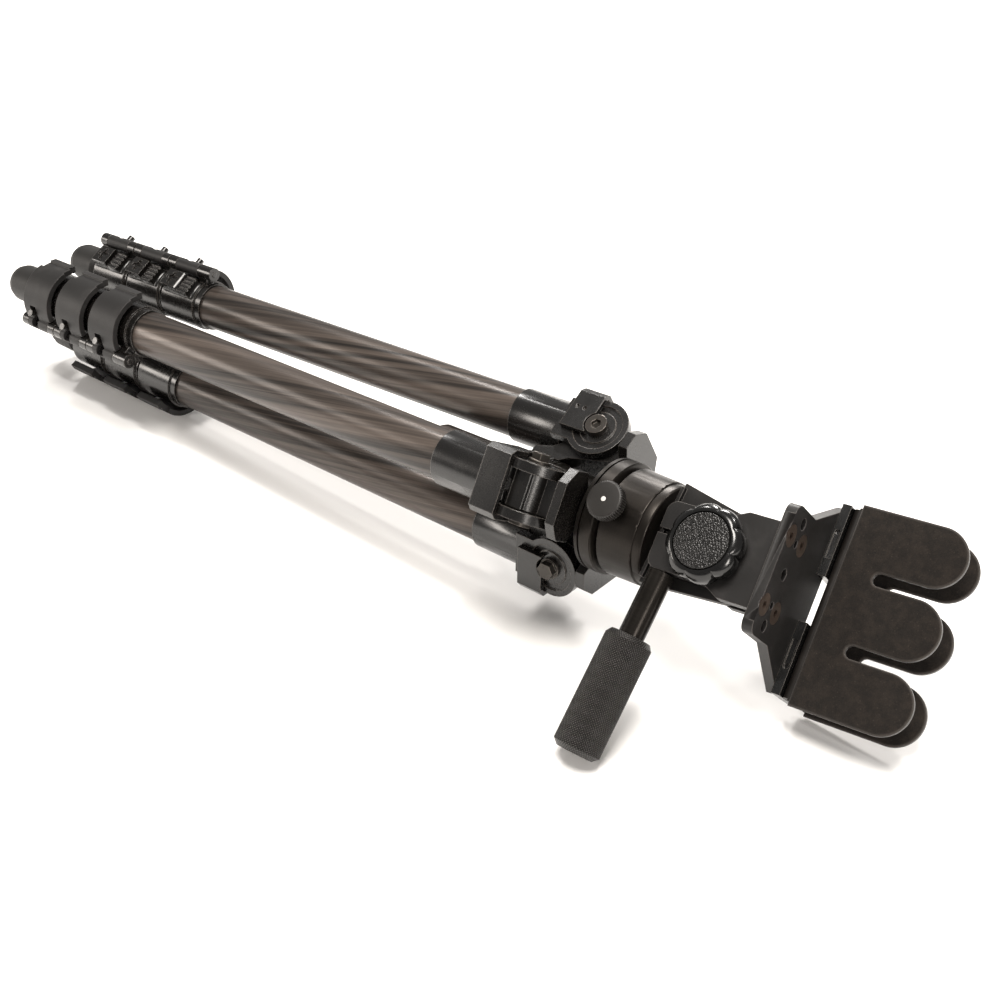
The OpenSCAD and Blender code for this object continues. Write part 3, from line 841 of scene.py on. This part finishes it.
@dataclass
class Legs:
    """The three folded legs: tubes, castings, collars, levers and feet."""

    frames: Frames
    casting: Coated = Coated(
        color=(0.0035, 0.0031, 0.0028),
        roughness=0.26,
        grain=1.3,
        depth=0.05,
        coat=0.2,
        blotch=0.2,
        dust=(0.012, 0.0105, 0.0095),
        rounding=0.8,
    )
    lever: Coated = Coated(
        color=(0.0125, 0.0118, 0.0115),
        roughness=0.52,
        grain=1.3,
        depth=0.05,
        blotch=0.45,
        dust=(0.034, 0.032, 0.031),
        specular=0.3,
        rounding=0.7,
        # Colour of the painted edge highlight, broken into patches like wear.
        rub=(0.055, 0.050, 0.048),
    )
    collar: Coated = Coated(
        color=(0.0042, 0.0037, 0.0033),
        roughness=0.26,
        grain=1.0,
        coat=0.15,
        blotch=0.2,
        dust=(0.014, 0.012, 0.011),
        rounding=0.6,
        # Colour of the painted edge highlight, broken into patches like wear.
        rub=(0.10, 0.088, 0.078),
    )
    rubber: Coated = Coated(
        color=(0.012, 0.0112, 0.0105),
        roughness=0.55,
        grain=0.8,
        depth=0.06,
        blotch=0.4,
        dust=(0.032, 0.03, 0.028),
        specular=0.35,
    )

    def build(self) -> None:
        """Dresses every node of the legs."""
        casting = self.casting.material("casting")
        lever = self.lever.material("lever_plastic")
        collar = self.collar.material("collar_coat")
        rubber = self.rubber.material("foot_rubber")
        steel = Coated(
            color=(0.045, 0.040, 0.035),
            roughness=0.3,
            grain=1.5,
            depth=0.02,
            metallic=0.7,
            blotch=0.35,
            rounding=0.6,
            # Colour of the painted edge highlight, broken into patches like wear.
            rub=(0.2, 0.18, 0.16),
        ).material("pin_steel")
        for seed, leg in enumerate(Leg):
            name = leg.prefix
            carbon = Carbon().material(name + "carbon", self.frames.leg(leg), 7.3 * seed)
            for section in range(1, 5):
                dress(f"{name}tube{section}", carbon)
            self.worked(name + "yoke", name + "upper", "cast_black", casting)
            self.worked(name + "catch", name + "catch_body", "lever_plastic", casting)
            for step, body in enumerate(("upper", "second", "third"), 1):
                self.worked(f"{name}clamp{step}", name + body, "collar_plastic", collar)
                self.worked(f"{name}lever{step}", f"{name}lever{step}_body", "lever_plastic", lever)
            dress(name + "foot", rubber)
        dress("pivot_bolts", steel)

    def worked(self, node: str, body: str, slot: str, coat: bpy.types.Material) -> None:
        """Replaces a node by its smoothed copy."""
        ride(softened(node), body, slot, coat)


def dress(node: str, material: bpy.types.Material) -> None:
    """Puts a material on every slot of a CAD node."""
    made = frame["nodes"][node]
    if not made.data.materials:
        made.data.materials.append(material)
    for k in range(len(made.data.materials)):
        made.data.materials[k] = material
    log.info("%s dressed in %s", node, material.name)


@dataclass
class Column:
    """The spider, the short centre column and its platform."""

    frames: Frames
    casting: Coated = Coated(
        color=(0.0042, 0.0037, 0.0033),
        roughness=0.28,
        grain=1.3,
        depth=0.05,
        coat=0.15,
        blotch=0.2,
        dust=(0.014, 0.012, 0.011),
        rounding=0.6,
        # Colour of the painted edge highlight, broken into patches like wear.
        rub=(0.10, 0.088, 0.078),
    )

    def build(self) -> None:
        """Dresses the spider and the column."""
        lie = self.frames.lie.matrix()
        ride(softened("spider"), "spider", "cast_black", self.casting.material("spider_coat"))
        dress("column_tube", Carbon(twist=0.0).material("column_carbon", lie, 31.0))
        dress("column_collar", Coated((0.012, 0.011, 0.010), 0.5).material("column_collar_plastic"))
        metal = Turned().material("platform_metal", lie)
        ride(softened("column_platform"), "column", "anodised_black", metal)


@dataclass
class Pan:
    """The pan base, the rotating body and its lock knob."""

    frames: Frames
    knob_radius: float = 10.5
    knob_low: float = 32.8
    knob_high: float = 41.6
    station: float = 45.2
    teeth: int = 48
    tooth_share: float = 0.045

    def build(self) -> None:
        """Dresses the pan and builds the knurled lock knob."""
        head = self.frames.head()
        metal = Turned((0.0125, 0.0106, 0.009), 0.34).material("pan_metal", head)
        ride(softened("pan_base"), "column", "anodised_black", metal)
        ride(softened("pan_body"), "pan", "anodised_black", metal)
        self.lock_knob(head)

    def lock_knob(self, head: Matrix) -> None:
        """Builds the lock knob, whose rim has a tooth wave: r = R (1 - share * (1 + cos(n a)) / 2)."""
        r, low, high = self.knob_radius, self.knob_low, self.knob_high
        profile = [(0.02, low - 2.0), (5.4, low - 2.0), (5.4, low), (r - 2.6, low), (r - 2.2, low + 0.2)]
        profile += [(r - 0.3, low + 2.1), (r, low + 2.5)]
        profile += [(r, low + 2.5 + k * (high - low - 3.6) / 5) for k in range(1, 6)]
        profile += [(r - 0.35, high - 0.55), (r - 0.9, high - 0.15), (r - 1.6, high), (0.02, high)]
        grid = revolved(profile, self.teeth * 6)
        angle, radius = polar(grid)
        rim = np.clip((radius - (r - 1.2)) / 1.2, 0, 1)
        shrink = 1 - rim * self.tooth_share * (1 + np.cos(self.teeth * angle)) / 2
        grid[..., :2] *= shrink[..., None]
        place = head @ Matrix.Translation((self.station, 0, 0))
        knob = surface("lock_knob", moved(grid, place), wrap=True)
        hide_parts("pan_lock_knob")
        black = Coated(
            color=(0.014, 0.0126, 0.0114),
            roughness=0.42,
            grain=1.4,
            depth=0.05,
            metallic=0.1,
            blotch=0.4,
            dust=(0.04, 0.036, 0.033),
            specular=0.35,
        ).material("lock_knob_metal")
        ride(knob, "pan_lock", "anodised_black", black)
        face = high + 0.15
        outline = [(0.01, high - 0.2), (1.3, high - 0.2), (1.35, high + 0.05), (1.1, face), (0.01, face)]
        dot = revolved(outline, 32)
        white = Coated(
            color=(0.50, 0.49, 0.47),
            roughness=0.4,
            grain=2.0,
            depth=0.01,
            blotch=0.3,
            dust=(0.3, 0.29, 0.28),
        ).material("dot_white")
        ride(surface("lock_knob_dot", moved(dot, place), wrap=True), "pan_lock", "anodised_black", white)


@dataclass
class TiltHead:
    """The tongue, the arms, the axle, the lobed knob and the handle."""

    frames: Frames
    knob_radius: float = 21.0
    knob_low: float = 22.4
    knob_thick: float = 11.6
    lobes: int = 8
    lobe_depth: float = 2.1
    lobe_power: float = 0.55
    lobe_turn: float = 0.27
    handle_station: float = -21.4
    arm_half: float = 18.6
    arm_mid: float = 18.0
    rake: float = 4.5
    rod_length: float = 37.0
    grip_length: float = 66.0
    grip_radius: float = 13.0
    pebble: float = 1.5
    ridges: int = 26
    knurl_depth: float = 0.5
    knurl_power: float = 0.6
    plate: Coated = Coated(
        color=(0.0105, 0.0096, 0.0092),
        roughness=0.42,
        grain=1.4,
        depth=0.05,
        metallic=0.15,
        blotch=0.4,
        dust=(0.028, 0.0255, 0.0245),
        specular=0.35,
        rounding=0.7,
        # Colour of the painted edge highlight, broken into patches like wear.
        rub=(0.16, 0.145, 0.135),
    )

    def build(self) -> bpy.types.Material:
        """Builds and dresses the tilting head, and returns the material of its flat plates."""
        coat = self.plate.material("plate_blasted")
        ride(softened("tilt_tongue"), "pan", "plate_grey", coat)
        for node in ("tilt_arm_near", "tilt_arm_far"):
            ride(softened(node), "tilt", "plate_grey", coat)
        dress("tilt_axle", Coated((0.05, 0.045, 0.04), 0.4, metallic=0.8).material("axle_metal"))
        self.knob()
        self.handle()
        return coat

    def knob(self) -> None:
        """Builds the lobed knob, whose outline is r = R - depth * (1 - |cos(n a / 2)|^p), and its pad."""
        tilt = self.frames.tilt()
        low, high, r = self.knob_low, self.knob_low + self.knob_thick, self.knob_radius
        rim = r - 5.7
        profile = [(0.02, low), (r - 6, low), (r - 2.2, low + 0.5), (r - 0.7, low + 1.6), (r, low + 3.2)]
        profile += [(r, high - 4.6), (r - 0.5, high - 3.0), (r - 1.7, high - 1.5), (r - 3.2, high - 0.5)]
        profile += [(r - 4.6, high), (rim + 0.3, high - 0.1), (rim, high - 0.6)]
        profile += [(rim, high - 2.2), (0.02, high - 2.2)]
        grid = revolved(profile, 256)
        angle, radius = polar(grid)
        weight = np.clip((radius - rim) / (r - rim), 0, 1) ** 1.5
        wave = 1 - np.abs(np.cos(self.lobes * (angle - self.lobe_turn) / 2)) ** self.lobe_power
        shrink = 1 - weight * wave * self.lobe_depth / r
        grid[..., :2] *= shrink[..., None]
        knob = surface("tilt_knob_body", moved(grid, tilt), wrap=True)
        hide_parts("tilt_knob")
        gloss = Coated(
            color=(0.0022, 0.0021, 0.002),
            roughness=0.20,
            grain=0.7,
            depth=0.04,
            coat=0.2,
            blotch=0.15,
            dust=(0.008, 0.0078, 0.0075),
            specular=0.45,
        )
        ride(knob, "tilt_lock", "knob_gloss", gloss.material("knob_gloss"))
        self.pad(tilt, rim - 0.1, high)

    def pad(self, tilt: Matrix, radius: float, high: float) -> None:
        """Builds the pebbled pad: a low dome, and on it a round cap about each of many scattered points."""
        rings = np.linspace(0.004, 1.0, 130)
        a = np.linspace(0, 2 * math.pi, 400, endpoint=False)[:, None]
        x, y = radius * rings * np.cos(a), radius * rings * np.sin(a)
        draw = np.random.default_rng(5)
        step = self.pebble * np.arange(-12, 13)
        home = np.stack(np.meshgrid(step, step * 0.87), -1)
        home[1::2, :, 0] += self.pebble / 2
        home = (home + draw.uniform(-0.3, 0.3, home.shape) * self.pebble).reshape(-1, 2)
        home = home[np.hypot(*home.T) < radius + 1]
        away = np.min((x[..., None] - home[:, 0]) ** 2 + (y[..., None] - home[:, 1]) ** 2, axis=-1)
        pebbles = 0.5 * np.sqrt(np.clip(1 - away / (0.62 * self.pebble) ** 2, 0, 1)) - 0.3
        edge = np.clip((1 - rings) / 0.05, 0, 1)
        z = high + 0.25 + 0.9 * (1 - rings**2) + pebbles * edge - 1.2 * (1 - edge) ** 2
        top = np.stack([x, y, z], -1)
        skirt = np.stack([x[:, -1:], y[:, -1:], np.full_like(x[:, -1:], high - 2.1)], -1)
        base = np.stack([x[:, :1], y[:, :1], np.full_like(x[:, :1], high - 2.1)], -1)
        grid = np.concatenate([top, skirt, base], axis=1)
        pad = surface("tilt_knob_insert", moved(grid, tilt), wrap=True)
        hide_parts("tilt_knob_pad")
        ride(pad, "tilt_lock", "knob_pad", Pebbled().material("knob_pebbles"))

    def handle_frame(self) -> Matrix:
        """Returns the handle's frame: Z runs along it, from the grip towards the arm."""
        place = Matrix.Translation((self.handle_station, -self.arm_half, self.arm_mid))
        turn = Matrix.Rotation(math.radians(-90), 4, "X") @ Matrix.Rotation(math.radians(self.rake), 4, "Y")
        return self.frames.tilt() @ place @ turn

    def handle(self) -> None:
        """Builds the knurled grip.

        Its wall is r = R - depth * (1 - |sin(n a + n z / R) sin(n a - n z / R)|^p).
        """
        at = self.handle_frame()
        along_x = at @ Matrix.Rotation(math.radians(-90), 4, "Y")
        rod = Turned((0.014, 0.0122, 0.0105), 0.24, 2.0).material("rod_metal", along_x)
        dress("handle_rod", rod)
        low, high, r = -self.rod_length - self.grip_length, -self.rod_length, self.grip_radius
        wall = np.linspace(low + 3.0, high - 3.0, 222)
        profile = [(0.02, low), (r - 3.4, low), (r - 3.0, low + 0.1), (r - 0.25, low + 2.8)]
        profile += [(r, z) for z in wall]
        profile += [(r - 0.25, high - 2.8), (r - 2.1, high - 0.1), (r - 2.5, high)]
        profile += [(8.2, high), (8.0, high - 1.2), (7.05, high - 1.2)]
        grid = revolved(profile, 312)
        angle, radius = polar(grid)
        along = self.ridges * grid[..., 2] / r
        ridge = np.abs(np.sin(self.ridges * angle + along) * np.sin(self.ridges * angle - along))
        full = np.clip((radius - (r - 0.05)) / 0.05, 0, 1)
        cut = self.knurl_depth * (1 - ridge**self.knurl_power)
        grid[..., :2] *= (1 - full * cut / r)[..., None]
        grip = surface("handle_grip_knurled", moved(grid, at), wrap=True)
        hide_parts("handle_grip")
        ride(grip, "handle", "grip", Knurled(self.ridges, r).material("grip_knurl", at))


@dataclass
class Cradle:
    """The rest plate, the blocks, the bent sheet and its flocked finger pads."""

    frames: Frames
    web: float = 42.6
    depth: float = 66.4
    finger: float = 33.0
    slot: float = 7.0
    slot_length: float = 43.3
    root: float = 47.1
    front: float = -32.5
    thick: float = 4.0
    channel: float = 23.5
    swell: float = 0.15
    rounding: float = 1.9
    steps: int = 26
    slot_steps: int = 12

    def build(self, coat: bpy.types.Material) -> None:
        """Builds the cradle.

        Args:
            coat: the material of the flat plates.
        """
        ride(softened("rest_plate"), "tilt", "plate_grey", coat)
        screw = Coated(
            color=(0.085, 0.062, 0.048),
            roughness=0.34,
            grain=1.2,
            metallic=0.7,
            blotch=0.5,
            dust=(0.20, 0.15, 0.12),
        )
        dress("rest_screws", screw.material("screw_oxide"))
        block = Coated(
            color=(0.004, 0.004, 0.004),
            roughness=0.26,
            grain=0.7,
            depth=0.02,
            coat=0.2,
            blotch=0.2,
            dust=(0.015, 0.015, 0.015),
            rounding=0.6,
        )
        ride(softened("cradle_blocks"), "tilt", "block", block.material("block_black"))
        sheet = Coated(
            color=(0.0095, 0.008, 0.007),
            roughness=0.38,
            grain=1.0,
            metallic=0.15,
            blotch=0.4,
            dust=(0.025, 0.0215, 0.019),
            specular=0.35,
            rounding=0.5,
        )
        ride(softened("cradle"), "tilt", "sheet", sheet.material("sheet_satin"))
        mid_front = self.front - self.thick / 2
        mid_rear = mid_front - self.channel - self.thick
        for name, mid in (("front", mid_front), ("rear", mid_rear)):
            pad = self.pad("finger_pad_" + name, mid)
            flock = Flock().material("flock_" + name, self.frames.tilt(), mid, self.thick / 2 + self.swell)
            ride(pad, "tilt", "felt", flock)
        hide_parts("cradle_felt")

    def outline(self) -> np.ndarray:
        """Returns the outline of the three fingers, as points that go round once.

        Each finger ends in a half circle, and each slot ends in a smaller one that turns the other way.
        """
        tip, r, s = self.web + self.depth, self.finger / 2, self.slot / 2
        pitch = self.finger + self.slot
        turn = np.linspace(-math.pi / 2, math.pi / 2, self.steps)
        parts = [np.array([[self.root, -pitch - r]])]
        for finger in (-1, 0, 1):
            mid = finger * pitch
            parts.append(np.stack([tip - r + r * np.cos(turn), mid + r * np.sin(turn)], -1))
            if finger < 1:
                gap = mid + pitch / 2
                back = np.linspace(-math.pi / 2, math.pi / 2, self.slot_steps)
                end = tip - self.slot_length + s
                parts.append(np.stack([end - s * np.cos(back), gap + s * np.sin(back)], -1))
        parts.append(np.array([[self.root, pitch + r]]))
        return np.concatenate(parts)

    def pad(self, name: str, mid: float) -> bpy.types.Object:
        """Builds one padded plate: the outline is raised to the plate's thickness and its rims are rounded.

        Args:
            name: the piece's name.
            mid: the height of the middle of the plate.

        Returns:
            The piece.
        """
        line = self.outline()
        work = bmesh.new()
        ring = [work.verts.new((x, y, 0.0)) for x, y in line]
        face = work.faces.new(ring)
        half = self.thick / 2 + self.swell
        extruded = bmesh.ops.extrude_face_region(work, geom=[face])
        top = [v for v in extruded["geom"] if isinstance(v, bmesh.types.BMVert)]
        bmesh.ops.translate(work, verts=top, vec=(0, 0, 2 * half))
        bmesh.ops.translate(work, verts=work.verts, vec=(0, 0, mid - half))
        rim = [e for e in work.edges if abs(e.verts[0].co.z - e.verts[1].co.z) < 1e-6]
        bmesh.ops.bevel(
            work,
            geom=rim,
            offset=self.rounding,
            offset_type="OFFSET",
            segments=6,
            profile=0.5,
            affect="EDGES",
        )
        bmesh.ops.recalc_face_normals(work, faces=work.faces)
        mesh = bpy.data.meshes.new(name)
        work.to_mesh(mesh)
        work.free()
        points = np.empty(len(mesh.vertices) * 3, np.float32)
        mesh.vertices.foreach_get("co", points)
        mesh.vertices.foreach_set(
            "co", (moved(points.reshape(-1, 3), self.frames.tilt()) * MM).astype(np.float32).ravel()
        )
        smooth(mesh)
        return shown(name, mesh)


def main() -> None:
    """Builds the studio and every sub-assembly in order."""
    logging.basicConfig(level=logging.INFO, format="%(name)s: %(message)s")
    frames = Frames()
    studio = Studio(frames)
    studio.camera()
    studio.lights()
    studio.floor()
    Legs(frames).build()
    Column(frames).build()
    Pan(frames).build()
    plate_coat = TiltHead(frames).build()
    Cradle(frames).build(plate_coat)


if __name__ == "__main__":
    main()
